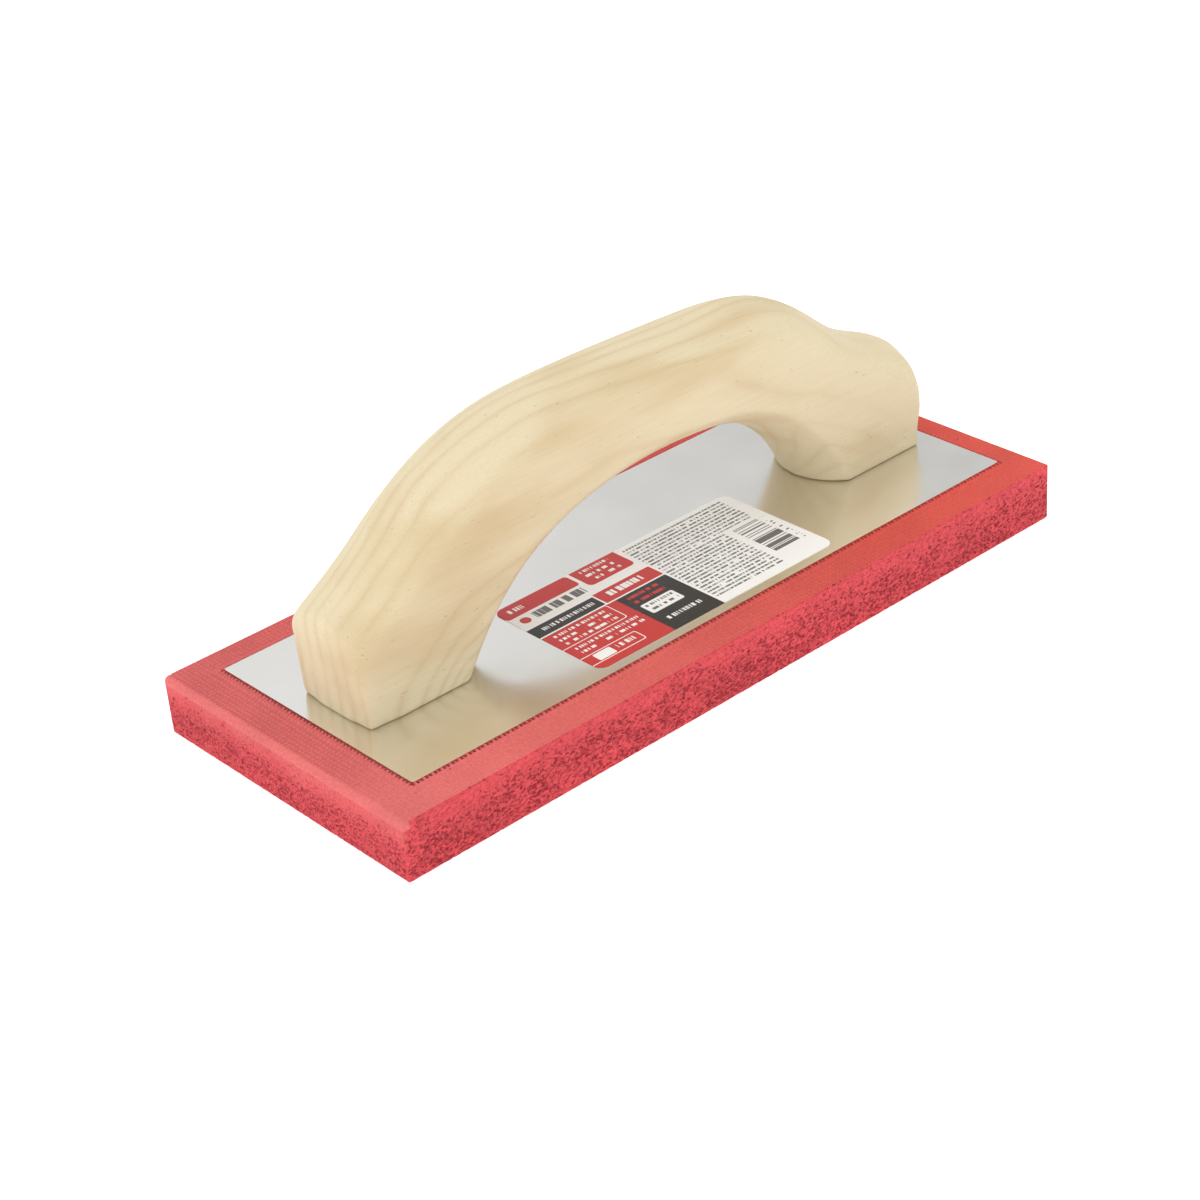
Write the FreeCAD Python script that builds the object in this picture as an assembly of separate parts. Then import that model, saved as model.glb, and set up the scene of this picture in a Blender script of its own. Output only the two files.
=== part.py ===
"""Sponge-rubber masonry float: a cellular rubber pad glued under a thin aluminium plate, with a
camelback pine handle screwed on through the plate.

Millimetres. X runs along the float, with the thumb saddle of the handle towards +X (the toe) and the
square end towards -X (the heel). Z is up. The origin is the centre of the pad's working face.
"""
import FreeCAD, Part
import math
import os

Vector = FreeCAD.Vector

# ---- driving dimensions ------------------------------------------------------------------------
# rubber pad
pad_length = 241.3
pad_width = 101.6
pad_thickness = 17.5
pad_corner_radius = 1.0

# plate, and the contact cement that holds it to the rubber
plate_margin = 10.85            # rubber left showing all round the plate
plate_shift = 1.35              # the plate is glued this far towards the toe
plate_thickness = 0.8
plate_corner_radius = 0.8
cement_thickness = 0.3
cement_inset = 1.0              # the cement stops this far inside the plate's edge

# handle
handle_inset = 6.65             # from the plate's ends to the feet of the handle
handle_width = 30.0
handle_rise = 65.4              # crest above the plate
heel_foot = 40.5                # length of each foot on the centre line
toe_foot = 37.2
arch_rise = 33.2                # clear height under the middle of the arch
crown_drop = 7.0                # fall of the crowned faces from the centre line to the sides
toe_crown_drop = 4.4            # the same where the handle rounds over its toe
heel_lean = 3.2                 # degrees that each end face leans outwards
toe_lean = 7.5

# screws, two in each foot
screw_length = 16.0
screw_diameter = 4.0
screw_head_diameter = 8.0
screw_end_distance = 11.0       # from the ends of a foot to its screws
thread_pitch = 1.6
thread_depth = 0.5
recess_width = 1.1
recess_length = 4.4
recess_depth = 1.3

# adhesive label
label_length = 88.2
label_width = 43.6
label_thickness = 0.12
label_corner_radius = 3.0
label_edge_gap = 3.3            # from the plate's long edge

# ---- outlines of the handle --------------------------------------------------------------------
# Crest line: (share of the handle's length from the heel, share of its rise). It starts and ends
# past the end faces, which trim it.
CREST = [
    (-0.044, 0.379), (0.002, 0.468), (0.051, 0.563), (0.119, 0.725), (0.198, 0.876),
    (0.290, 0.973), (0.395, 1.000), (0.516, 0.996), (0.644, 0.982), (0.755, 0.937),
    (0.832, 0.801), (0.895, 0.636), (0.951, 0.539), (1.003, 0.446), (1.027, 0.273),
    (1.040, -0.060),
]
# Underside of the arch: (share of the clear span, share of the arch's rise), from just below the
# heel foot's base to just below the toe foot's.
ARCH = [
    (-0.017, -0.116), (0.037, 0.205), (0.111, 0.515), (0.215, 0.765), (0.304, 0.887),
    (0.401, 0.964), (0.513, 1.000), (0.637, 0.985), (0.734, 0.929), (0.813, 0.807),
    (0.874, 0.643), (0.957, 0.295), (1.012, -0.116),
]

# ---- derived sizes and levels ------------------------------------------------------------------
cement_bottom = pad_thickness
plate_bottom = cement_bottom + cement_thickness
plate_top = plate_bottom + plate_thickness
plate_length = pad_length - 2 * plate_margin
plate_width = pad_width - 2 * plate_margin

handle_length = plate_length - 2 * handle_inset
heel_x = plate_shift - handle_length / 2
toe_x = heel_x + handle_length
arch_start_x = heel_x + heel_foot
arch_span = handle_length - heel_foot - toe_foot
screw_places = {
    "heel_outer": heel_x + screw_end_distance,
    "heel_inner": arch_start_x - screw_end_distance,
    "toe_inner": arch_start_x + arch_span + screw_end_distance,
    "toe_outer": toe_x - screw_end_distance,
}
over = 1.0                      # how far cutting bodies run past what they cut


def rounded_slab(length, width, thickness, radius, centre_x, centre_y, bottom):
    """A flat slab with rounded upright edges."""
    corner = Vector(centre_x - length / 2, centre_y - width / 2, bottom)
    slab = Part.makeBox(length, width, thickness, corner)
    upright = [e for e in slab.Edges if abs(e.tangentAt(e.FirstParameter).z) > 0.99]
    return slab.makeFillet(radius, upright)


def crown_fall(y, drop):
    """How far an arc that falls by drop at the handle's sides has fallen at y."""
    half = handle_width / 2
    radius = (half ** 2 + drop ** 2) / (2 * drop)
    return radius - math.sqrt(radius ** 2 - y ** 2)


def under_crowned_face(points, drop_at, side, depth):
    """The body below a face that follows points lengthwise and is crowned across the handle.

    drop_at(x) is the fall at the sides, and side is -1 where the sides fall below the centre line
    and +1 where they rise above it.
    """
    line = Part.BSplineCurve()
    line.interpolate([Vector(x, 0, z) for x, z in points])
    rows = 4 * len(points)
    columns = 10
    reach = handle_width / 2 + over
    grid = []
    for row in range(rows + 1):
        share = line.FirstParameter + (line.LastParameter - line.FirstParameter) * row / rows
        on_line = line.value(share)
        along = line.tangent(share)[0]
        normal = Vector(-along.z, 0, along.x)
        across = []
        for column in range(columns + 1):
            y = reach * (2 * column / columns - 1)
            fall = crown_fall(y, drop_at(on_line.x))
            across.append(on_line + normal * (side * fall) + Vector(0, y, 0))
        grid.append(across)
    face = Part.BSplineSurface()
    face.interpolate(grid)
    return face.toShape().extrude(Vector(0, 0, -depth))


def crest_drop(x):
    """The crown is full along the grip and eases off over the toe."""
    ease_length = handle_length * 0.25
    share = min(max((x - (toe_x - ease_length)) / ease_length, 0), 1)
    return crown_drop + (toe_crown_drop - crown_drop) * share


def screw_outline(grooved):
    """Half outline of a screw in XZ, head face at z = 0 and tip upwards."""
    radius = screw_diameter / 2
    head = screw_head_diameter / 2
    shoulder = head - radius
    tip_start = screw_length - 2 * radius
    points = [(0, 0), (head, 0), (radius, shoulder)]
    if grooved:
        count = int((tip_start - shoulder) / thread_pitch) - 1
        first = tip_start - count * thread_pitch
        for turn in range(count):
            low = first + turn * thread_pitch
            points += [(radius, low), (radius - thread_depth, low + thread_pitch / 2)]
    points += [(radius, tip_start), (0, screw_length), (0, 0)]
    return points


def turned(points):
    """Revolves a half outline about Z."""
    wire = Part.makePolygon([Vector(x, 0, z) for x, z in points])
    return Part.Face(wire).revolve(Vector(0, 0, 0), Vector(0, 0, 1), 360)


def make_pad():
    return rounded_slab(pad_length, pad_width, pad_thickness, pad_corner_radius, 0, 0, 0)


def make_cement():
    length = plate_length - 2 * cement_inset
    width = plate_width - 2 * cement_inset
    return rounded_slab(length, width, cement_thickness, plate_corner_radius,
                        plate_shift, 0, cement_bottom)


def make_screw(x):
    screw = turned(screw_outline(grooved=True))
    for angle in (0, 90):
        slot = Part.makeBox(recess_length, recess_width, recess_depth,
                            Vector(-recess_length / 2, -recess_width / 2, 0))
        slot.rotate(Vector(0, 0, 0), Vector(0, 0, 1), angle)
        screw = screw.cut(slot)
    screw.translate(Vector(x, 0, plate_bottom))
    return screw


def screw_bodies():
    """The plain bodies that the screws fill in the plate and in the wood."""
    bodies = []
    for x in screw_places.values():
        body = turned(screw_outline(grooved=False))
        body.translate(Vector(x, 0, plate_bottom))
        bodies.append(body)
    return bodies


def make_plate():
    plate = rounded_slab(plate_length, plate_width, plate_thickness, plate_corner_radius,
                         plate_shift, 0, plate_bottom)
    return plate.cut(screw_bodies())


def make_handle():
    top = handle_rise + 2 * over
    heel_out = top * math.tan(math.radians(heel_lean))
    toe_out = top * math.tan(math.radians(toe_lean))
    outline = Part.makePolygon([
        Vector(heel_x, -handle_width / 2, plate_top),
        Vector(toe_x, -handle_width / 2, plate_top),
        Vector(toe_x + toe_out, -handle_width / 2, plate_top + top),
        Vector(heel_x - heel_out, -handle_width / 2, plate_top + top),
        Vector(heel_x, -handle_width / 2, plate_top),
    ])
    blank = Part.Face(outline).extrude(Vector(0, handle_width, 0))
    crest = [(heel_x + u * handle_length, plate_top + v * handle_rise) for u, v in CREST]
    arch = [(arch_start_x + u * arch_span, plate_top + v * arch_rise) for u, v in ARCH]
    deep = 2 * handle_rise
    under_crest = under_crowned_face(crest, crest_drop, -1, deep)
    under_arch = under_crowned_face(arch, lambda x: crown_drop, 1, deep)
    return blank.common(under_crest).cut(under_arch).cut(screw_bodies())


def make_label():
    centre_y = -plate_width / 2 + label_edge_gap + label_width / 2
    return rounded_slab(label_length, label_width, label_thickness, label_corner_radius,
                        plate_shift, centre_y, plate_top)


def main():
    parts = {
        "sponge_pad": make_pad(),
        "contact_cement": make_cement(),
        "backing_plate": make_plate(),
        "handle": make_handle(),
        "label": make_label(),
    }
    for place, x in screw_places.items():
        parts["screw_" + place] = make_screw(x)
    os.makedirs("parts", exist_ok=True)
    for name, shape in parts.items():
        shape.exportStep(os.path.join("parts", name + ".step"))
        print(name, shape.isValid(), len(shape.Solids), round(shape.Volume, 1), shape.BoundBox)


main()
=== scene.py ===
"""Looks of a sponge-rubber hand float: a red cellular rubber pad, a thin aluminium plate with an
adhesive label, and a camelback pine handle, on a plain pale stage.

Metres. X runs along the float with the toe of the handle towards +X, and Z is up.
"""
import math

import bpy
import numpy as np
from bpy.props import FloatProperty, FloatVectorProperty, PointerProperty
from mathutils import Matrix, Vector, noise


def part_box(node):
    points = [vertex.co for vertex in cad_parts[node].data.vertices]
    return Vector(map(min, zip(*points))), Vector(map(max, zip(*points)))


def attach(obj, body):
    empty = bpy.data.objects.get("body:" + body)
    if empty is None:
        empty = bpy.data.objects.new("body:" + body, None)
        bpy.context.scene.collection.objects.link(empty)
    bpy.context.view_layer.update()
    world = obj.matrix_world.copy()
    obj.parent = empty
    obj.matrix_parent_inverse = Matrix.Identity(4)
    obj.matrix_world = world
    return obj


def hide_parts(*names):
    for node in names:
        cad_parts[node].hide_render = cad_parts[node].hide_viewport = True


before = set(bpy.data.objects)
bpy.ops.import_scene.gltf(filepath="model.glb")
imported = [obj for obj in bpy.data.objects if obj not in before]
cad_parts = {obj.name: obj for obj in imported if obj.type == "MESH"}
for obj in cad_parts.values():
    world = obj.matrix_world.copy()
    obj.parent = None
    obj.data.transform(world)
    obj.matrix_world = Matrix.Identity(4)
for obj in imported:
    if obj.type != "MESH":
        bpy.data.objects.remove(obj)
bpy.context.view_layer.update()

bl_info = {
    "name": "Sponge Rubber Hand Float",
    "version": (1, 0, 0),
    "blender": (4, 5, 0),
    "location": "3D View > Sidebar > Hand Float",
    "description": "Builds the visible pieces of a sponge rubber hand float around its CAD parts",
    "category": "Object",
}

MM = 0.001
PAD_LOW, PAD_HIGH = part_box("sponge_pad")
PLATE_LOW, PLATE_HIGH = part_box("backing_plate")
LABEL_LOW, LABEL_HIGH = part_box("label")
HANDLE_LOW, HANDLE_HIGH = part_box("handle")


def linear(code):
    """Linear colour of an sRGB hex code such as #D2555A, with full alpha."""
    values = [int(code[place:place + 2], 16) / 255 for place in (1, 3, 5)]
    return tuple(v / 12.92 if v <= 0.04045 else ((v + 0.055) / 1.055) ** 2.4 for v in values) + (1.0,)


def tone(colour, factor):
    """A linear colour made lighter or darker, with full alpha."""
    return tuple(min(1.0, c * factor) for c in colour[:3]) + (1.0,)


# ---- sizes and colours that a user may change --------------------------------------------------
class RubberSettings(bpy.types.PropertyGroup):
    """Sizes and colours of the sponge rubber pad."""

    edge_radius: FloatProperty(
        name="Edge radius", description="Rounding of the sawn edges", default=0.45 * MM, unit="LENGTH")
    mesh_step: FloatProperty(
        name="Mesh step", description="Spacing of the mesh on the sides", default=0.4 * MM, unit="LENGTH")
    soft_radius: FloatProperty(
        name="Soft radius", description="Rounding of the worn top edge at the heel", default=2.2 * MM,
        unit="LENGTH")
    cell_length: FloatProperty(
        name="Cell length", description="Usual length of an opened cell along the sides",
        default=1.2 * MM, unit="LENGTH")
    cell_height: FloatProperty(
        name="Cell height", description="Usual height of an opened cell", default=0.65 * MM, unit="LENGTH")
    cell_depth: FloatProperty(
        name="Cell depth", description="Depth of the opened cells", default=0.4 * MM, unit="LENGTH")
    weave_pitch: FloatProperty(
        name="Weave pitch", description="Thread spacing of the cloth that the skin was moulded against",
        default=1.4 * MM, unit="LENGTH")
    weave_relief: FloatProperty(
        name="Weave relief", description="Depth of the woven imprint", default=0.32 * MM, unit="LENGTH")
    sawn_colour: FloatVectorProperty(
        name="Sawn colour", description="Rubber on the sawn sides", subtype="COLOR", size=4,
        default=linear("#CB454B"))
    skin_heel_colour: FloatVectorProperty(
        name="Skin colour at heel", description="Moulded skin at the heel end", subtype="COLOR", size=4,
        default=linear("#E0706D"))
    skin_toe_colour: FloatVectorProperty(
        name="Skin colour at toe", description="Moulded skin towards the toe", subtype="COLOR", size=4,
        default=linear("#DA564A"))
    # painted shade: the cell colour is the darker red mixed into opened cells, small cells, weave dimples
    # and notches, where shade falls
    cell_shade_colour: FloatVectorProperty(
        name="Cell colour", description="Rubber down inside an opened cell", subtype="COLOR", size=4,
        default=linear("#860A20"))


class HandleSettings(bpy.types.PropertyGroup):
    """Sizes and colours of the pine handle."""

    mesh_step: FloatProperty(
        name="Mesh step", description="Voxel size of the handle's mesh", default=0.7 * MM, unit="LENGTH")
    ring_spacing: FloatProperty(
        name="Ring spacing", description="Thickness of one growth layer", default=4.6 * MM, unit="LENGTH")
    early_colour: FloatVectorProperty(
        name="Earlywood", description="Pale wood of a growth layer", subtype="COLOR", size=4,
        default=linear("#E0D1AE"))
    late_colour: FloatVectorProperty(
        name="Latewood", description="Darker wood that ends a growth layer", subtype="COLOR", size=4,
        default=linear("#D0B98F"))
    duct_colour: FloatVectorProperty(
        name="Resin ducts", description="Short dark flecks in the wood", subtype="COLOR", size=4,
        default=linear("#A88960"))


class PlateSettings(bpy.types.PropertyGroup):
    """Finish of the aluminium plate."""

    edge_break: FloatProperty(
        name="Edge break", description="Rounding of the plate's deburred edges", default=0.15 * MM,
        unit="LENGTH")
    colour: FloatVectorProperty(
        name="Colour", description="Bare rolled aluminium", subtype="COLOR", size=4,
        default=linear("#EFEEEA"))


class LabelSettings(bpy.types.PropertyGroup):
    """Inks of the label."""

    paper: FloatVectorProperty(
        name="Paper", description="White coated paper", subtype="COLOR", size=4, default=linear("#F6F6F5"))
    red: FloatVectorProperty(
        name="Red ink", description="Red panels", subtype="COLOR", size=4, default=linear("#C8322F"))
    black: FloatVectorProperty(
        name="Black ink", description="Dark panels", subtype="COLOR", size=4, default=linear("#2B2826"))


class StageSettings(bpy.types.PropertyGroup):
    """Camera and light of the stage."""

    azimuth: FloatProperty(
        name="Azimuth", description="Camera's direction round the float", subtype="ANGLE",
        default=math.radians(-39.963))
    elevation: FloatProperty(
        name="Elevation", description="Camera's height above the horizon", subtype="ANGLE",
        default=math.radians(30.291))
    roll: FloatProperty(
        name="Roll", description="Camera's lean", subtype="ANGLE", default=math.radians(-4.81))
    distance: FloatProperty(
        name="Distance", description="From the camera to the point it looks at", default=759.95 * MM,
        unit="LENGTH")
    lens: FloatProperty(
        name="Lens", description="Focal length in millimetres", default=79.96, unit="CAMERA")
    key_power: FloatProperty(
        name="Key light", description="Power of the key light in watts", default=0.9, unit="POWER")


# ---- helpers -----------------------------------------------------------------------------------
def add(tree, kind, inputs=None, stops=None, **settings):
    """Adds a shader node with its settings, its input values or links, and a ramp's stops."""
    node = tree.nodes.new("ShaderNode" + kind)
    for name, value in settings.items():
        setattr(node, name, value)
    for key, value in (inputs or {}).items():
        socket = node.inputs[key] if isinstance(key, int) else next(
            s for s in node.inputs if s.enabled and s.name == key)
        if isinstance(value, bpy.types.Node):
            value = next(s for s in value.outputs if s.enabled)
        if isinstance(value, bpy.types.NodeSocket):
            tree.links.new(value, socket)
        else:
            socket.default_value = value
    if stops:
        elements = node.color_ramp.elements
        while len(elements) < len(stops):
            elements.new(1.0)
        for element, (place, colour) in zip(elements, stops):
            element.position = place
            element.color = colour
    return node


def start_material(name):
    """An empty node material, its tree, and the object's own coordinates in millimetres."""
    made = bpy.data.materials.new(name)
    made.use_nodes = True
    tree = made.node_tree
    tree.nodes.clear()
    coordinates = add(tree, "TexCoord")
    place = add(tree, "VectorMath", {0: coordinates.outputs["Object"], "Scale": 1 / MM}, operation="SCALE")
    return made, tree, place


def surface(tree, inputs):
    """Ends a material with a Principled shader and the output."""
    shader = add(tree, "BsdfPrincipled", inputs)
    add(tree, "OutputMaterial", {"Surface": shader})


def add_object(name, vertices, faces, material):
    """A smooth-shaded mesh object of its own, linked to the scene."""
    mesh = bpy.data.meshes.new(name)
    mesh.from_pydata(vertices, [], faces)
    mesh.validate()
    mesh.shade_smooth()
    mesh.materials.append(material)
    made = bpy.data.objects.new(name, mesh)
    bpy.context.scene.collection.objects.link(made)
    return made


def dress(node, material):
    """Gives a CAD node one material."""
    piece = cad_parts[node]
    piece.data.materials.clear()
    piece.data.materials.append(material)
    return piece


def smoothstep(low, high, values):
    """0 below low, 1 above high, and smooth between."""
    share = np.clip((values - low) / (high - low), 0, 1)
    return share * share * (3 - 2 * share)


def noise_at(points, size, seed=0.0):
    """Perlin noise, about -1 to 1, at points; size is the feature size along x, y and z."""
    scaled = points / np.array(size) + seed
    return np.array([noise.noise(Vector(p)) for p in scaled.tolist()])


# ---- materials ---------------------------------------------------------------------------------
def sponge_rubber(settings):
    """Open-cell sponge rubber, cured in a sheet against woven cloth and sawn to size: matt, with opened
    cells on the sawn sides that are darkened with painted shade, and a paler, tighter skin on top; the
    weave's dimples and the notches beside the plate are darkened with painted shade as well."""
    made, tree, place = start_material("sponge_rubber_cured_on_cloth_and_sawn")
    # the cell attribute marks the opened cells, which are darkened with painted shade
    cell = add(tree, "Attribute", attribute_name="cell").outputs["Fac"]
    skin = add(tree, "Attribute", attribute_name="skin").outputs["Fac"]
    # the weave attribute marks painted shade in the weave's dimples and in the notches beside the plate
    painted_weave_shade = add(tree, "Attribute", attribute_name="painted_weave_shade").outputs["Fac"]
    axes = add(tree, "SeparateXYZ", {0: place})
    open_cells = add(tree, "Attribute", attribute_name="open").outputs["Fac"]
    # mottling of the rubber over some 20 mm and over 0.8 mm
    cloud = add(tree, "TexNoise", {"Vector": place, "Scale": 1 / 20, "Detail": 2.0})
    grain = add(tree, "TexNoise", {"Vector": place, "Scale": 1 / 0.8, "Detail": 2.0, "Roughness": 0.6})
    # small cells between pale walls, from a noise of about 1 mm along and 0.6 mm up; the walls are painted
    # lighter and the cells' rims painted darker, as painted light and shade
    flat = add(tree, "VectorMath", {0: place, 1: (1 / 1.05, 1 / 0.7, 1 / 0.62)}, operation="MULTIPLY")
    small = add(tree, "TexNoise", {"Vector": flat, "Scale": 1.0, "Detail": 1.0, "Roughness": 0.5,
                                   "Distortion": 0.7})
    limit = add(tree, "MapRange", {"Value": open_cells, "To Min": 0.76, "To Max": 0.55})
    beyond = add(tree, "Math", {0: small, 1: limit}, operation="SUBTRACT")
    small = add(tree, "MapRange", {"Value": beyond, "From Min": 0.0, "From Max": 0.06})
    wall_light_and_shade = add(tree, "MapRange", {"Value": beyond, "From Min": -0.22, "From Max": -0.02, "To Min": 1.12,
                                  "To Max": 0.94})
    sawn_colour = add(tree, "ValToRGB", {"Fac": grain}, stops=[
        (0.30, tone(settings.sawn_colour, 0.78)), (0.5, settings.sawn_colour),
        (0.72, tone(settings.sawn_colour, 1.2))])
    sawn_colour = add(tree, "VectorMath", {0: sawn_colour, "Scale": wall_light_and_shade}, operation="SCALE")
    # the skin is pinker at the heel and redder at the toe
    along = add(tree, "MapRange", {"Value": axes.outputs["X"], "From Min": -110.0, "From Max": 60.0})
    skin_colour = add(tree, "Mix", {"Factor": along, "A": settings.skin_heel_colour,
                                    "B": settings.skin_toe_colour}, data_type="RGBA")
    fleck = add(tree, "MapRange", {"Value": grain, "From Min": 0.3, "From Max": 0.65, "To Min": 0.86,
                                   "To Max": 1.04})
    skin_colour = add(tree, "VectorMath", {0: skin_colour, "Scale": fleck}, operation="SCALE")
    colour = add(tree, "Mix", {"Factor": skin, "A": sawn_colour, "B": skin_colour}, data_type="RGBA")
    shade = add(tree, "MapRange", {"Value": cloud, "From Min": 0.3, "From Max": 0.7, "To Min": 0.92,
                                   "To Max": 1.06})
    colour = add(tree, "VectorMath", {0: colour, "Scale": shade}, operation="SCALE")
    # painted shade: the small cells, the opened cells and the weave's dimples and notches are mixed
    # towards the darker cell colour
    dark = add(tree, "Math", {0: small, 1: 0.8}, operation="MULTIPLY")
    dark = add(tree, "Math", {0: cell, 1: dark}, operation="MAXIMUM")
    dark = add(tree, "Math", {0: dark, 1: painted_weave_shade}, operation="MAXIMUM")
    colour = add(tree, "Mix", {"Factor": dark, "A": colour, "B": settings.cell_shade_colour}, data_type="RGBA")
    bumps = add(tree, "Math", {0: grain, 1: 0.5}, operation="MULTIPLY")
    bumps = add(tree, "Math", {0: bumps, 1: small}, operation="SUBTRACT")
    bump = add(tree, "Bump", {"Height": bumps, "Distance": 0.3 * MM, "Strength": 0.8})
    surface(tree, {"Base Color": colour, "Roughness": 0.78, "IOR": 1.52, "Specular IOR Level": 0.3,
                   "Normal": bump})
    return made


def pine(settings):
    """Pine, band-sawn, shaped and sanded, without varnish: pale, nearly matt, with soft tan latewood
    lines and fine fibres along the length."""
    made, tree, place = start_material("pine_shaped_and_sanded")
    # growth layers stand upright along the handle and sway a little; on the sides they come out as
    # long flames, bowed about a line that rises to the middle of the arch
    slow_at = add(tree, "VectorMath", {0: place, 1: (1 / 70, 1 / 30, 1 / 26)}, operation="MULTIPLY")
    sway = add(tree, "TexNoise", {"Vector": slow_at, "Scale": 1.0, "Detail": 2.0, "Roughness": 0.45})
    axes = add(tree, "SeparateXYZ", {0: place})
    x, y, z = (axes.outputs[k] for k in "XYZ")
    square = add(tree, "Math", {0: x, 1: x}, operation="MULTIPLY")
    middle = add(tree, "Math", {0: square, 1: -0.0035, 2: 73.0}, operation="MULTIPLY_ADD")
    above = add(tree, "Math", {0: z, 1: middle}, operation="SUBTRACT")
    bow = add(tree, "Math", {0: above, 1: above}, operation="MULTIPLY")
    bow = add(tree, "Math", {0: bow, 1: 0.018}, operation="MULTIPLY")
    reach = add(tree, "MapRange", {"Value": x, "From Min": -102.0, "From Max": -70.0})
    bow = add(tree, "Math", {0: bow, 1: reach}, operation="MULTIPLY")
    lean = add(tree, "Math", {0: x, 1: 0.05, 2: y}, operation="MULTIPLY_ADD")
    lean = add(tree, "Math", {0: sway, 1: 7.0, 2: lean}, operation="MULTIPLY_ADD")
    layer = add(tree, "Math", {0: lean, 1: bow}, operation="SUBTRACT")
    layer = add(tree, "Math", {0: layer, 1: settings.ring_spacing / MM}, operation="DIVIDE")
    share = add(tree, "Math", {0: layer}, operation="FRACT")
    late = add(tree, "ValToRGB", {"Fac": share}, stops=[
        (0.0, (0.45, 0.45, 0.45, 1)), (0.16, (0.08, 0.08, 0.08, 1)), (0.45, (0.0, 0.0, 0.0, 1)),
        (0.74, (0.42, 0.42, 0.42, 1)), (0.88, (1, 1, 1, 1)), (1.0, (0.45, 0.45, 0.45, 1))])
    # latewood is stronger in some years and places than in others
    vary = add(tree, "TexNoise", {"Vector": slow_at, "Scale": 1.7, "Detail": 2.0})
    vary = add(tree, "MapRange", {"Value": vary, "From Min": 0.3, "From Max": 0.65, "To Min": 0.2,
                                  "To Max": 0.9})
    late = add(tree, "Math", {0: late, 1: vary}, operation="MULTIPLY")
    calm = add(tree, "MapRange", {"Value": x, "From Min": 45.0, "From Max": 80.0, "To Min": 1.0,
                                  "To Max": 0.35})
    late = add(tree, "Math", {0: late, 1: calm}, operation="MULTIPLY")
    colour = add(tree, "Mix", {"Factor": late, "A": settings.early_colour, "B": settings.late_colour},
                 data_type="RGBA")
    # broad tan patches along the grain
    patch_at = add(tree, "VectorMath", {0: place, 1: (1 / 48, 1 / 20, 1 / 15)}, operation="MULTIPLY")
    patches = add(tree, "TexNoise", {"Vector": patch_at, "Scale": 1.0, "Detail": 1.5})
    patches = add(tree, "MapRange", {"Value": patches, "From Min": 0.50, "From Max": 0.68, "To Max": 0.65})
    colour = add(tree, "Mix", {"Factor": patches, "A": colour, "B": settings.late_colour},
                 data_type="RGBA")
    fibres_at = add(tree, "VectorMath", {0: place, 1: (1 / 16, 1 / 0.55, 1 / 0.55)}, operation="MULTIPLY")
    fibres = add(tree, "TexNoise", {"Vector": fibres_at, "Scale": 1.0, "Detail": 3.0, "Roughness": 0.6})
    fibre_shade = add(tree, "MapRange", {"Value": fibres, "From Min": 0.25, "From Max": 0.75,
                                         "To Min": 0.95, "To Max": 1.03})
    colour = add(tree, "VectorMath", {0: colour, "Scale": fibre_shade}, operation="SCALE")
    # short dark resin ducts, from a noise of 1.6 mm along the grain, here and there
    duct_at = add(tree, "VectorMath", {0: place, 1: (1 / 1.6, 1 / 0.45, 1 / 0.45)}, operation="MULTIPLY")
    ducts = add(tree, "TexNoise", {"Vector": duct_at, "Scale": 1.0, "Detail": 0.0})
    ducts = add(tree, "MapRange", {"Value": ducts, "From Min": 0.80, "From Max": 0.88, "To Max": 0.7})
    colour = add(tree, "Mix", {"Factor": ducts, "A": colour, "B": settings.duct_colour}, data_type="RGBA")
    bump = add(tree, "Bump", {"Height": fibres, "Distance": 0.05 * MM, "Strength": 0.5})
    surface(tree, {"Base Color": colour, "Roughness": 0.55, "IOR": 1.5, "Specular IOR Level": 0.35,
                   "Normal": bump})
    return made


def rolled_aluminium(settings):
    """Sheet aluminium, cold rolled and left bare: a soft mirror with faint rolling lines and hand
    smears."""
    made, tree, place = start_material("aluminium_cold_rolled")
    smear = add(tree, "TexNoise", {"Vector": place, "Scale": 1 / 18, "Detail": 3.0})
    rolled_at = add(tree, "VectorMath", {0: place, 1: (1 / 60, 1 / 0.5, 1.0)}, operation="MULTIPLY")
    rolling = add(tree, "TexNoise", {"Vector": rolled_at, "Scale": 1.0, "Detail": 2.0})
    rough = add(tree, "MapRange", {"Value": smear, "From Min": 0.3, "From Max": 0.7, "To Min": 0.15,
                                   "To Max": 0.26})
    bump = add(tree, "Bump", {"Height": rolling, "Distance": 0.01 * MM, "Strength": 0.2})
    surface(tree, {"Base Color": settings.colour, "Metallic": 1.0, "Roughness": rough, "Normal": bump})
    return made


def dried_cement():
    """Contact cement, brushed on and dried: a dark brown, slightly glossy film."""
    made, tree, place = start_material("contact_cement_dried")
    brush = add(tree, "TexNoise", {"Vector": place, "Scale": 1 / 1.5, "Detail": 3.0})
    colour = add(tree, "ValToRGB", {"Fac": brush}, stops=[
        (0.3, linear("#1E1512")), (0.7, linear("#3A2A20"))])
    bump = add(tree, "Bump", {"Height": brush, "Distance": 0.1 * MM, "Strength": 0.6})
    surface(tree, {"Base Color": colour, "Roughness": 0.5, "IOR": 1.5, "Normal": bump})
    return made


def zinc_plated_steel():
    """Steel screw, rolled thread, bright zinc plate: a greyish, slightly blue metal."""
    made, tree, place = start_material("steel_zinc_plated")
    cloud = add(tree, "TexNoise", {"Vector": place, "Scale": 1 / 1.2, "Detail": 3.0})
    colour = add(tree, "ValToRGB", {"Fac": cloud}, stops=[
        (0.3, linear("#B9BEC2")), (0.7, linear("#D3D6D6"))])
    rough = add(tree, "MapRange", {"Value": cloud, "To Min": 0.25, "To Max": 0.45})
    surface(tree, {"Base Color": colour, "Metallic": 1.0, "Roughness": rough})
    return made


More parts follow.
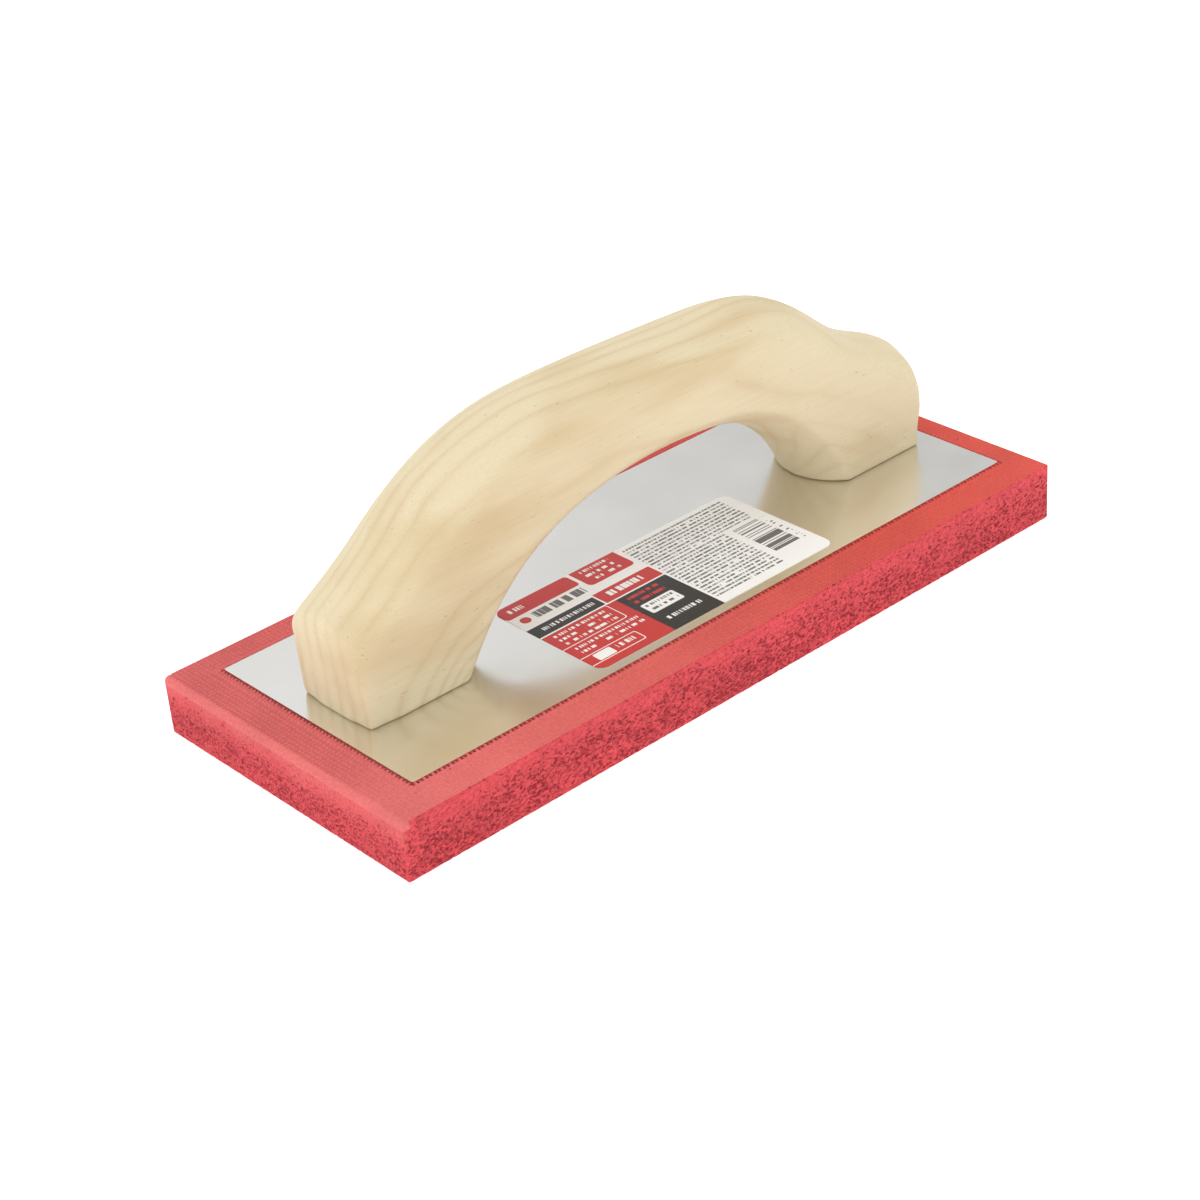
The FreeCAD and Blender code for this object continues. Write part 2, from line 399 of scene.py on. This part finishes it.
def panel(tree, spot, left, top, right, bottom, corner=0.3):
    """Mask of a printed panel with rounded corners. Places are millimetres from the label's corner
    at its heel end, nearest the middle of the plate."""
    centre = ((left + right) / 2, (top + bottom) / 2, 0.0)
    half = ((right - left) / 2 - corner, (bottom - top) / 2 - corner, 0.0)
    offset = add(tree, "VectorMath", {0: spot, 1: centre}, operation="SUBTRACT")
    offset = add(tree, "VectorMath", {0: offset}, operation="ABSOLUTE")
    offset = add(tree, "VectorMath", {0: offset, 1: half}, operation="SUBTRACT")
    offset = add(tree, "VectorMath", {0: offset, 1: (0.0, 0.0, 0.0)}, operation="MAXIMUM")
    far = add(tree, "VectorMath", {0: offset}, operation="LENGTH")
    return add(tree, "Math", {0: far, 1: corner}, operation="LESS_THAN")


def dashes(tree, spot, left, top, right, bottom, pitch, letter, fill=0.5):
    """Mask of rows of broken dashes that stand for small print; pitch is the rows' spacing and
    letter the usual length of a dash. They form no letters."""
    inside = panel(tree, spot, left, top, right, bottom, corner=0.05)
    from_top = add(tree, "VectorMath", {0: spot, 1: (0.0, top, 0.0)}, operation="SUBTRACT")
    rows = add(tree, "VectorMath", {0: from_top, 1: (1 / letter, 1 / pitch, 1.0)}, operation="MULTIPLY")
    parts = add(tree, "SeparateXYZ", {0: rows})
    row = add(tree, "Math", {0: parts.outputs["Y"]}, operation="FLOOR")
    row_apart = add(tree, "Math", {0: row, 1: 7.31}, operation="MULTIPLY")
    along = add(tree, "CombineXYZ", {"X": parts.outputs["X"], "Y": row_apart})
    strokes = add(tree, "TexNoise", {"Vector": along, "Scale": 1.0, "Detail": 1.0, "Roughness": 0.7},
                  noise_dimensions="2D")
    strokes = add(tree, "Math", {0: strokes, 1: 1 - fill}, operation="GREATER_THAN")
    down = add(tree, "Math", {0: parts.outputs["Y"]}, operation="FRACT")
    body = add(tree, "Math", {0: down, 1: 0.46}, operation="LESS_THAN")
    mask = add(tree, "Math", {0: strokes, 1: body}, operation="MULTIPLY")
    return add(tree, "Math", {0: mask, 1: inside}, operation="MULTIPLY")


def bars(tree, spot, left, top, right, bottom, module):
    """Mask of stacked bars of uneven widths, each some modules high. They code nothing."""
    inside = panel(tree, spot, left, top, right, bottom, corner=0.05)
    down = add(tree, "SeparateXYZ", {0: spot}).outputs["Y"]
    step = add(tree, "Math", {0: down, 1: module}, operation="DIVIDE")
    step = add(tree, "Math", {0: step}, operation="FLOOR")
    chance = add(tree, "TexWhiteNoise", {"W": step}, noise_dimensions="1D").outputs["Value"]
    dark = add(tree, "Math", {0: chance, 1: 0.5}, operation="GREATER_THAN")
    return add(tree, "Math", {0: dark, 1: inside}, operation="MULTIPLY")


def printed_label(settings):
    """Coated paper, offset printed and varnished: white with red and black panels, fine print and
    bars, all without words."""
    made, tree, place = start_material("coated_paper_offset_printed")
    corner = (LABEL_LOW.x / MM, LABEL_HIGH.y / MM, 0.0)
    spot = add(tree, "VectorMath", {0: place, 1: corner}, operation="SUBTRACT")
    spot = add(tree, "VectorMath", {0: spot, 1: (1.0, -1.0, 0.0)}, operation="MULTIPLY")
    wide, deep = (LABEL_HIGH.x - LABEL_LOW.x) / MM, (LABEL_HIGH.y - LABEL_LOW.y) / MM
    centre = wide * 0.512                      # where the coloured half ends
    red, black, white = settings.red, settings.black, settings.paper
    grey = linear("#6C6B6C")
    print_run = [
        # coloured panels
        (red, panel(tree, spot, 0.0, 0.0, 26.3, 6.5, 1.2)),
        (red, panel(tree, spot, 27.5, -2.0, centre - 0.9, 9.6, 1.6)),
        (black, panel(tree, spot, -1.0, 14.2, 23.6, 19.7)),
        (red, panel(tree, spot, 24.2, 13.5, centre, 19.7)),
        (red, panel(tree, spot, -1.0, 20.3, 27.0, deep + 1.0)),
        (black, panel(tree, spot, 26.7, 20.3, centre, deep + 1.0)),
        (white, panel(tree, spot, 28.8, 27.6, 40.5, 33.3, 0.7)),
        # outlines on the big red panel
        (white, panel(tree, spot, -1.0, 20.3, 23.2, 29.2, 1.0)),
        (red, panel(tree, spot, -1.0, 20.3, 22.9, 28.9, 0.9)),
        (white, panel(tree, spot, -1.0, 35.8, 19.2, 40.9, 0.8)),
        (red, panel(tree, spot, -1.0, 36.1, 18.9, 40.6, 0.7)),
        # fine print in dashes
        (white, dashes(tree, spot, 2.2, 2.2, 9.0, 4.9, 4.2, 1.0)),
        (white, dashes(tree, spot, 30.2, 1.2, 40.6, 8.6, 2.7, 0.9)),
        (grey, dashes(tree, spot, 6.5, 7.7, 25.0, 12.4, 7.4, 1.5, 0.56)),
        (red, panel(tree, spot, 2.0, 8.0, 5.2, 11.2, 1.5)),
        (white, dashes(tree, spot, 3.2, 16.0, 22.0, 18.2, 3.4, 0.7)),
        (white, dashes(tree, spot, 27.6, 15.0, 40.0, 18.6, 5.6, 1.2, 0.56)),
        (white, dashes(tree, spot, 2.6, 21.6, 21.0, 28.3, 2.5, 0.9)),
        (white, dashes(tree, spot, 2.6, 30.4, 25.0, 35.2, 2.5, 0.8)),
        (white, panel(tree, spot, 3.2, 36.6, 9.2, 40.2, 0.5)),
        (white, dashes(tree, spot, 10.8, 37.2, 17.6, 39.8, 4.0, 1.0)),
        (red, dashes(tree, spot, 29.2, 21.8, 40.2, 27.0, 2.9, 1.1, 0.56)),
        (grey, dashes(tree, spot, 29.8, 28.5, 39.6, 32.8, 2.4, 0.9)),
        (white, dashes(tree, spot, 28.8, 37.0, 41.8, 39.2, 3.6, 0.9)),
        (grey, dashes(tree, spot, centre + 0.9, 1.9, wide - 3.9, 15.4, 1.62, 0.55, 0.56)),
        (grey, dashes(tree, spot, centre + 0.9, 16.5, wide - 16.5, 40.8, 1.62, 0.55, 0.56)),
        (grey, bars(tree, spot, wide - 13.9, 16.6, wide - 4.4, 36.2, 0.36)),
        (grey, dashes(tree, spot, wide - 3.3, 17.4, wide - 2.1, 36.0, 1.3, 2.0)),
    ]
    colour = white
    for ink, mask in print_run:
        colour = add(tree, "Mix", {"Factor": mask, "A": colour, "B": ink}, data_type="RGBA")
    paper = add(tree, "TexNoise", {"Vector": place, "Scale": 1 / 6, "Detail": 2.0})
    rough = add(tree, "MapRange", {"Value": paper, "To Min": 0.32, "To Max": 0.46})
    bump = add(tree, "Bump", {"Height": paper, "Distance": 0.05 * MM, "Strength": 0.4})
    surface(tree, {"Base Color": colour, "Roughness": rough, "IOR": 1.5, "Normal": bump})
    return made


# ---- sponge rubber pad -------------------------------------------------------------------------
def grid_lines(low, high, border, fine, coarse):
    """Positions from low to high, fine in the border at each end; an even number of steps."""
    edge = np.linspace(low, low + border, 2 * round(border / fine / 2) + 1)
    steps = 2 * round((high - low - 2 * border) / coarse / 2)
    middle = np.linspace(low + border, high - border, steps + 1)
    return np.concatenate([edge[:-1], middle, (low + high - edge[::-1])[1:]])


def box_mesh(xs, ys, zs, hole):
    """Vertices and faces of a closed box on grid lines. The top is fine only in a ring as many lines
    wide as hole says, and one face closes it. The underside has every second line."""
    last_x, last_y = len(xs) - 1, len(ys) - 1
    rim = ([(i, 0) for i in range(last_x)] + [(last_x, j) for j in range(last_y)]
           + [(i, last_y) for i in range(last_x, 0, -1)] + [(0, j) for j in range(last_y, 0, -1)])
    vertices = [(xs[i], ys[j], z) for z in zs for i, j in rim]
    count = len(rim)
    faces = [(k * count + p, k * count + (p + 1) % count, (k + 1) * count + (p + 1) % count,
              (k + 1) * count + p) for k in range(len(zs) - 1) for p in range(count)]

    def sheet(level, step, skip):
        """Ids of a sheet's vertices by grid place, with the rim's own vertices on its border."""
        base = 0 if level == 0 else (len(zs) - 1) * count
        ids = {place: base + p for p, place in enumerate(rim)}
        for i in range(step, last_x, step):
            for j in range(step, last_y, step):
                if not skip(i, j):
                    ids[i, j] = len(vertices)
                    vertices.append((xs[i], ys[j], zs[level]))
        return ids

    def in_hole(i, j):
        """Whether a grid place lies in the part of the top that one face closes."""
        return hole < i < last_x - hole and hole < j < last_y - hole

    top = sheet(len(zs) - 1, 1, in_hole)
    for i in range(last_x):
        for j in range(last_y):
            corners = [(i, j), (i + 1, j), (i + 1, j + 1), (i, j + 1)]
            if all(c in top for c in corners) and not in_hole(i + 0.5, j + 0.5):
                faces.append([top[c] for c in corners])
    far_x, far_y = last_x - hole, last_y - hole
    loop = ([(i, hole) for i in range(hole, far_x)] + [(far_x, j) for j in range(hole, far_y)]
            + [(i, far_y) for i in range(far_x, hole, -1)] + [(hole, j) for j in range(far_y, hole, -1)])
    faces.append([top[c] for c in loop])
    bottom = sheet(0, 2, lambda i, j: False)
    for i in range(0, last_x, 2):
        for j in range(0, last_y, 2):
            walk = [(i, j), (i, j + 1), (i, j + 2), (i + 1, j + 2), (i + 2, j + 2), (i + 2, j + 1),
                    (i + 2, j), (i + 1, j)]
            faces.append([bottom[c] for c in walk if c in bottom])
    return np.array(vertices), faces


class FLOAT_OT_sponge_pad(bpy.types.Operator):
    """Builds the sponge rubber pad with its opened cells and woven imprint"""

    bl_idname = "hand_float.sponge_pad"
    bl_label = "Sponge rubber pad"

    def execute(self, context):
        settings = context.scene.float_rubber
        low, high = np.array(PAD_LOW), np.array(PAD_HIGH)
        # the top is fine from the pad's edge to just inside the plate's
        under_plate = 0.4 * MM
        border = PLATE_LOW.x - PAD_LOW.x + under_plate
        fine = settings.weave_pitch / 4
        xs = grid_lines(low[0], high[0], border, fine, settings.mesh_step)
        ys = grid_lines(low[1], high[1], border, fine, settings.mesh_step)
        zs = np.linspace(low[2], high[2], round((high[2] - low[2]) / settings.mesh_step) + 1)
        points, faces = box_mesh(xs, ys, zs, round(border / fine) - 1)

        # round the edges, and keep the outward direction of every point
        radius = settings.edge_radius
        core = np.clip(points, low + radius, high - radius)
        out = points - core
        out /= np.linalg.norm(out, axis=1, keepdims=True)
        points = core + out * radius
        skin = smoothstep(0.72, 0.97, out[:, 2])

        # the top edge at the heel is worn to a wider curve
        soft = settings.soft_radius
        centre = np.array([low[0] + soft, high[2] - soft])
        arm = points[:, [0, 2]] - centre
        worn = (arm[:, 0] < 0) & (arm[:, 1] > 0)
        reach = np.maximum(np.linalg.norm(arm, axis=1, keepdims=True), 1e-9)
        points[:, [0, 2]] = np.where(worn[:, None], centre + arm / reach * np.minimum(reach, soft),
                                     points[:, [0, 2]])
        out[:, [0, 2]] = np.where(worn[:, None], arm / reach, out[:, [0, 2]])
        skin = np.where(worn, 1.0, skin)

        # the heel face keeps some skin along its upper half
        rise = (points[:, 2] - low[2]) / (high[2] - low[2])
        heel_face = 1 - smoothstep(low[0] + 0.3 * MM, low[0] + 1.2 * MM, points[:, 0])
        patches = noise_at(points, (9 * MM, 9 * MM, 5 * MM), 53.0)
        skin = np.maximum(skin, 0.5 * heel_face * smoothstep(0.42, 0.95, rise + 0.2 * patches))

        # opened cells of the sawn faces: long flat pits, more of them towards the working face
        size = (settings.cell_length, settings.cell_length, settings.cell_height)
        warp = noise_at(points, (4 * MM,) * 3, 31.0)[:, None] * np.array([0.5, 0.5, 0.4]) * MM
        pits = noise_at(points + warp, size, 7.0)
        threshold = 0.10 + 0.34 * smoothstep(0.3, 0.95, rise) - 0.14 * patches
        cells = smoothstep(0.0, 0.25, pits - threshold)
        large = noise_at(points, (2.2 * MM, 2.2 * MM, 1.4 * MM), 91.0)
        caves = smoothstep(0.44, 0.60, large - 0.15 * rise)
        sawn = 1 - skin
        # the corners of the block stay nearly whole
        nearest = np.sort(np.minimum(points - low, high - points), axis=1)[:, 1]
        whole = 0.25 + 0.75 * smoothstep(0.2 * MM, 1.6 * MM, nearest)
        pitted = sawn * whole * np.maximum(cells * 0.7, caves)
        inward = pitted * settings.cell_depth
        open_cells = sawn * (0.95 - 0.5 * smoothstep(0.5, 1.0, rise) + 0.22 * patches)
        open_cells *= 1 - 0.15 * heel_face

        # woven imprint of the skin, deep at the heel and the far side; along the plate the rubber
        # swells up between its dimples
        turn = 2 * math.pi / settings.weave_pitch
        thread = 0.25 * (1 + np.cos(turn * points[:, 0])) * (1 + np.cos(turn * points[:, 1]))
        heel_end = 1 - smoothstep(low[0] + 9 * MM, low[0] + 18 * MM, points[:, 0])
        far_side = smoothstep(high[1] - 16 * MM, high[1] - 9 * MM, points[:, 1])
        near_corner = smoothstep(low[1] + 8 * MM, low[1] + 40 * MM, points[:, 1])
        strength = np.maximum(heel_end * (0.4 + 0.6 * near_corner), 0.9 * far_side)
        middle = smoothstep(-30 * MM, 0, points[:, 0]) * (1 - smoothstep(50 * MM, 80 * MM, points[:, 0]))
        strength = np.maximum(strength, 0.2 + 0.35 * middle)
        plate_low, plate_high = np.array(PLATE_LOW), np.array(PLATE_HIGH)
        beyond = np.maximum(plate_low - points, points - plate_high)[:, :2]
        outside = beyond.max(axis=1)
        top_face = smoothstep(0.9, 0.99, out[:, 2])
        beside = top_face * (1 - smoothstep(0.4 * MM, 1.2 * MM, np.abs(outside)))
        along = np.where(beyond[:, 0] > beyond[:, 1], points[:, 1], points[:, 0])
        notch = beside * smoothstep(0.30, 0.75, 0.5 - 0.5 * np.cos(turn * along))
        dimple = top_face * strength * (1 - thread)
        inward += dimple * settings.weave_relief
        # painted shade: the weave's dimples, and the notches along the plate's edge where the plate shades
        # the rubber, are marked to turn to the darker cell colour
        painted_weave_shade = np.maximum(0.36 * dimple, notch)
        points -= out * inward[:, None]
        # the soft rubber stands up beside the plate, just short of the plate's upper face but for its
        # notches
        swell = top_face * (outside > -0.02 * MM) * (1 - smoothstep(0.4 * MM, 4 * MM, outside))
        short_by = 0.05 * MM
        lift = plate_high[2] - high[2] - short_by
        points[:, 2] += swell * lift * (1 - 1.2 * notch)

        pad = add_object("sponge_pad_rubber", points.tolist(), faces, sponge_rubber(settings))
        # the cell mark holds painted shade for the opened cells
        marks = {"cell": 0.6 * pitted, "skin": skin, "painted_weave_shade": painted_weave_shade, "open": open_cells}
        for name, values in marks.items():
            attribute = pad.data.attributes.new(name, "FLOAT", "POINT")
            attribute.data.foreach_set("value", values.astype(np.float32))
        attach(pad, "root")
        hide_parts("sponge_pad")
        return {"FINISHED"}


# ---- handle ------------------------------------------------------------------------------------
def relax(points, edges, weights, rounds):
    """Moves each point towards the mean of its neighbours by its weight, a number of times."""
    ends = np.concatenate([edges, edges[:, ::-1]])
    count = np.bincount(ends[:, 0], minlength=len(points))[:, None]
    for _ in range(rounds):
        total = np.stack([np.bincount(ends[:, 0], points[ends[:, 1], axis], len(points))
                          for axis in range(3)], 1)
        points = points + weights[:, None] * (total / count - points)
    return points


class FLOAT_OT_handle(bpy.types.Operator):
    """Builds the pine handle with sanded edges"""

    bl_idname = "hand_float.handle"
    bl_label = "Pine handle"

    def execute(self, context):
        settings = context.scene.float_handle
        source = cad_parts["handle"].data.copy()
        handle = bpy.data.objects.new("handle_pine", source)
        context.scene.collection.objects.link(handle)
        remesh = handle.modifiers.new("even_mesh", "REMESH")
        remesh.mode = "VOXEL"
        remesh.voxel_size = settings.mesh_step
        graph = context.evaluated_depsgraph_get()
        mesh = bpy.data.meshes.new_from_object(handle.evaluated_get(graph))
        handle.modifiers.clear()
        handle.data = mesh
        points = np.zeros(len(mesh.vertices) * 3)
        mesh.vertices.foreach_get("co", points)
        points = points.reshape(-1, 3)
        edges = np.zeros(len(mesh.edges) * 2, int)
        mesh.edges.foreach_get("vertices", edges)
        edges = edges.reshape(-1, 2)
        low, high = np.array(HANDLE_LOW), np.array(HANDLE_HIGH)
        # every edge is broken by sandpaper, the outer ones more, and the toe is rounded by hand
        points = relax(points, edges, np.full(len(points), 0.5), 3)
        middle = (low + high) / 2
        reach = ((points[:, 0] - middle[0]) / (85 * MM)) ** 2 + ((points[:, 2] - low[2]) / (50 * MM)) ** 2
        outer = smoothstep(0.9, 1.1, reach) * smoothstep(low[2] + 1 * MM, low[2] + 6 * MM, points[:, 2])
        points = relax(points, edges, 0.5 * outer, 18)
        toe = smoothstep(10 * MM, 60 * MM, points[:, 0])
        above_foot = smoothstep(low[2] + 10 * MM, low[2] + 30 * MM, points[:, 2])
        beside = smoothstep(3 * MM, 8 * MM, np.abs(points[:, 1]))
        points = relax(points, edges, 0.5 * outer * toe * above_foot * beside, 150)
        # the upright corners of the heel foot are rounded more, and its base stays on the plate
        corner = 1 - smoothstep(low[0] + 6 * MM, low[0] + 12 * MM, points[:, 0])
        corner *= smoothstep(6 * MM, 10 * MM, np.abs(points[:, 1]))
        corner *= 1 - smoothstep(low[2] + 22 * MM, low[2] + 32 * MM, points[:, 2])
        height = points[:, 2].copy()
        points = relax(points, edges, 0.5 * corner, 40)
        near_base = 1 - smoothstep(low[2] + 2 * MM, low[2] + 8 * MM, height)
        points[:, 2] += near_base * (height - points[:, 2])
        # the toe keeps its lean where the rounding drew it in
        nose = smoothstep(70 * MM, 98 * MM, points[:, 0])
        nose *= smoothstep(low[2] + 1 * MM, low[2] + 16 * MM, points[:, 2])
        drawn_in = 1.0 * MM
        points[:, 0] += drawn_in * nose
        points = np.clip(points, low, high)
        mesh.vertices.foreach_set("co", points.ravel())
        mesh.shade_smooth()
        mesh.materials.clear()
        mesh.materials.append(pine(settings))
        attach(handle, "root")
        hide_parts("handle")
        return {"FINISHED"}


# ---- plate, cement, screws, label --------------------------------------------------------------
class FLOAT_OT_plate(bpy.types.Operator):
    """Gives the aluminium plate its broken edges and its finish"""

    bl_idname = "hand_float.plate"
    bl_label = "Aluminium plate"

    def execute(self, context):
        settings = context.scene.float_plate
        plate = dress("backing_plate", rolled_aluminium(settings))
        bevel = plate.modifiers.new("edge_break", "BEVEL")
        bevel.width = settings.edge_break
        bevel.segments = 2
        bevel.limit_method = "ANGLE"
        bevel.harden_normals = True
        return {"FINISHED"}


class FLOAT_OT_hidden_pieces(bpy.types.Operator):
    """Gives the contact cement and the screws their finishes"""

    bl_idname = "hand_float.hidden_pieces"
    bl_label = "Cement and screws"

    def execute(self, context):
        dress("contact_cement", dried_cement())
        zinc = zinc_plated_steel()
        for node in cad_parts:
            if node.startswith("screw_"):
                dress(node, zinc)
        return {"FINISHED"}


class FLOAT_OT_label(bpy.types.Operator):
    """Prints the label"""

    bl_idname = "hand_float.label"
    bl_label = "Label"

    def execute(self, context):
        dress("label", printed_label(context.scene.float_label))
        return {"FINISHED"}


# ---- stage -------------------------------------------------------------------------------------
class FLOAT_OT_stage(bpy.types.Operator):
    """Builds the pale floor, the soft light and the camera"""

    bl_idname = "hand_float.stage"
    bl_label = "Stage"

    def execute(self, context):
        settings = context.scene.float_stage
        scene = context.scene
        floor_half = 6.0
        made, tree, _ = start_material("paper_backdrop")
        surface(tree, {"Base Color": linear("#E8E8E8"), "Roughness": 0.9, "Emission Color": (1, 1, 1, 1),
                       "Emission Strength": 0.62})
        corners = [(x * floor_half, y * floor_half, 0) for x, y in ((-1, -1), (1, -1), (1, 1), (-1, 1))]
        floor = add_object("floor", corners, [(0, 1, 2, 3)], made)

        world = bpy.data.worlds.new("soft_tent")
        world.use_nodes = True
        tree = world.node_tree
        tree.nodes.clear()
        # a white tent, brighter overhead than at its sides and a little darker towards the toe
        aim = add(tree, "TexCoord").outputs["Generated"]
        up = add(tree, "SeparateXYZ", {0: aim}).outputs["Z"]
        strength = add(tree, "MapRange", {"Value": up, "From Min": 0.45, "From Max": 1.0,
                                          "To Min": 0.74, "To Max": 1.56})
        sideways = add(tree, "SeparateXYZ", {0: aim}).outputs["X"]
        dim = add(tree, "MapRange", {"Value": sideways, "From Min": 0.5, "From Max": 0.66,
                                     "To Min": 1.0, "To Max": 0.79})
        strength = add(tree, "Math", {0: strength, 1: dim}, operation="MULTIPLY")
        back = add(tree, "Background", {"Color": (1, 1, 1, 1), "Strength": strength})
        add(tree, "OutputWorld", {"Surface": back})
        scene.world = world
        scene.view_settings.view_transform = "Standard"

        key = bpy.data.lights.new("key", "AREA")
        key.shape = "DISK"
        key.size = 0.6
        key.energy = settings.key_power
        lamp = bpy.data.objects.new("key", key)
        scene.collection.objects.link(lamp)
        lamp.location = (-0.7, -0.35, 0.75)
        lamp.rotation_euler = (-lamp.location).to_track_quat("-Z", "Y").to_euler()

        look_at = Vector((1.87, 14.55, 0.0)) * MM
        az, el, roll = settings.azimuth, settings.elevation, settings.roll
        back = Vector((math.sin(az) * math.cos(el), -math.cos(az) * math.cos(el), math.sin(el)))
        right = Vector((math.cos(az), math.sin(az), 0.0))
        up = back.cross(right)
        across = right * math.cos(roll) + up * math.sin(roll)
        upward = up * math.cos(roll) - right * math.sin(roll)
        camera_data = bpy.data.cameras.new("camera")
        camera_data.lens = settings.lens
        camera_data.clip_start = 0.01
        camera = bpy.data.objects.new("camera", camera_data)
        scene.collection.objects.link(camera)
        turn = Matrix((across, upward, back)).transposed()
        camera.matrix_world = Matrix.Translation(look_at + back * settings.distance) @ turn.to_4x4()
        scene.camera = camera
        return {"FINISHED"}


class FLOAT_PT_panel(bpy.types.Panel):
    """Lists the float's sizes, colours and build steps"""

    bl_idname = "FLOAT_PT_panel"
    bl_label = "Hand Float"
    bl_space_type = "VIEW_3D"
    bl_region_type = "UI"
    bl_category = "Hand Float"

    def draw(self, context):
        for group, operators in STEPS:
            box = self.layout.box()
            if group:
                owner = getattr(context.scene, group)
                for name in owner.bl_rna.properties.keys():
                    if name not in ("rna_type", "name"):
                        box.prop(owner, name)
            for operator in operators:
                box.operator(operator.bl_idname)


STEPS = (
    ("float_rubber", (FLOAT_OT_sponge_pad,)),
    ("float_handle", (FLOAT_OT_handle,)),
    ("float_plate", (FLOAT_OT_plate, FLOAT_OT_hidden_pieces)),
    ("float_label", (FLOAT_OT_label,)),
    ("float_stage", (FLOAT_OT_stage,)),
)
GROUPS = {"float_rubber": RubberSettings, "float_handle": HandleSettings, "float_plate": PlateSettings,
          "float_label": LabelSettings, "float_stage": StageSettings}


def register():
    """Registers every class and hangs the settings on the scene."""
    for name, group in GROUPS.items():
        bpy.utils.register_class(group)
        setattr(bpy.types.Scene, name, PointerProperty(type=group))
    for _, operators in STEPS:
        for operator in operators:
            bpy.utils.register_class(operator)
    bpy.utils.register_class(FLOAT_PT_panel)


def unregister():
    """Takes everything away again."""
    bpy.utils.unregister_class(FLOAT_PT_panel)
    for _, operators in STEPS:
        for operator in operators:
            bpy.utils.unregister_class(operator)
    for name, group in GROUPS.items():
        delattr(bpy.types.Scene, name)
        bpy.utils.unregister_class(group)


def main():
    """Builds everything in order."""
    register()
    bpy.ops.hand_float.sponge_pad()
    bpy.ops.hand_float.handle()
    bpy.ops.hand_float.plate()
    bpy.ops.hand_float.hidden_pieces()
    bpy.ops.hand_float.label()
    bpy.ops.hand_float.stage()


if __name__ == "__main__":
    main()
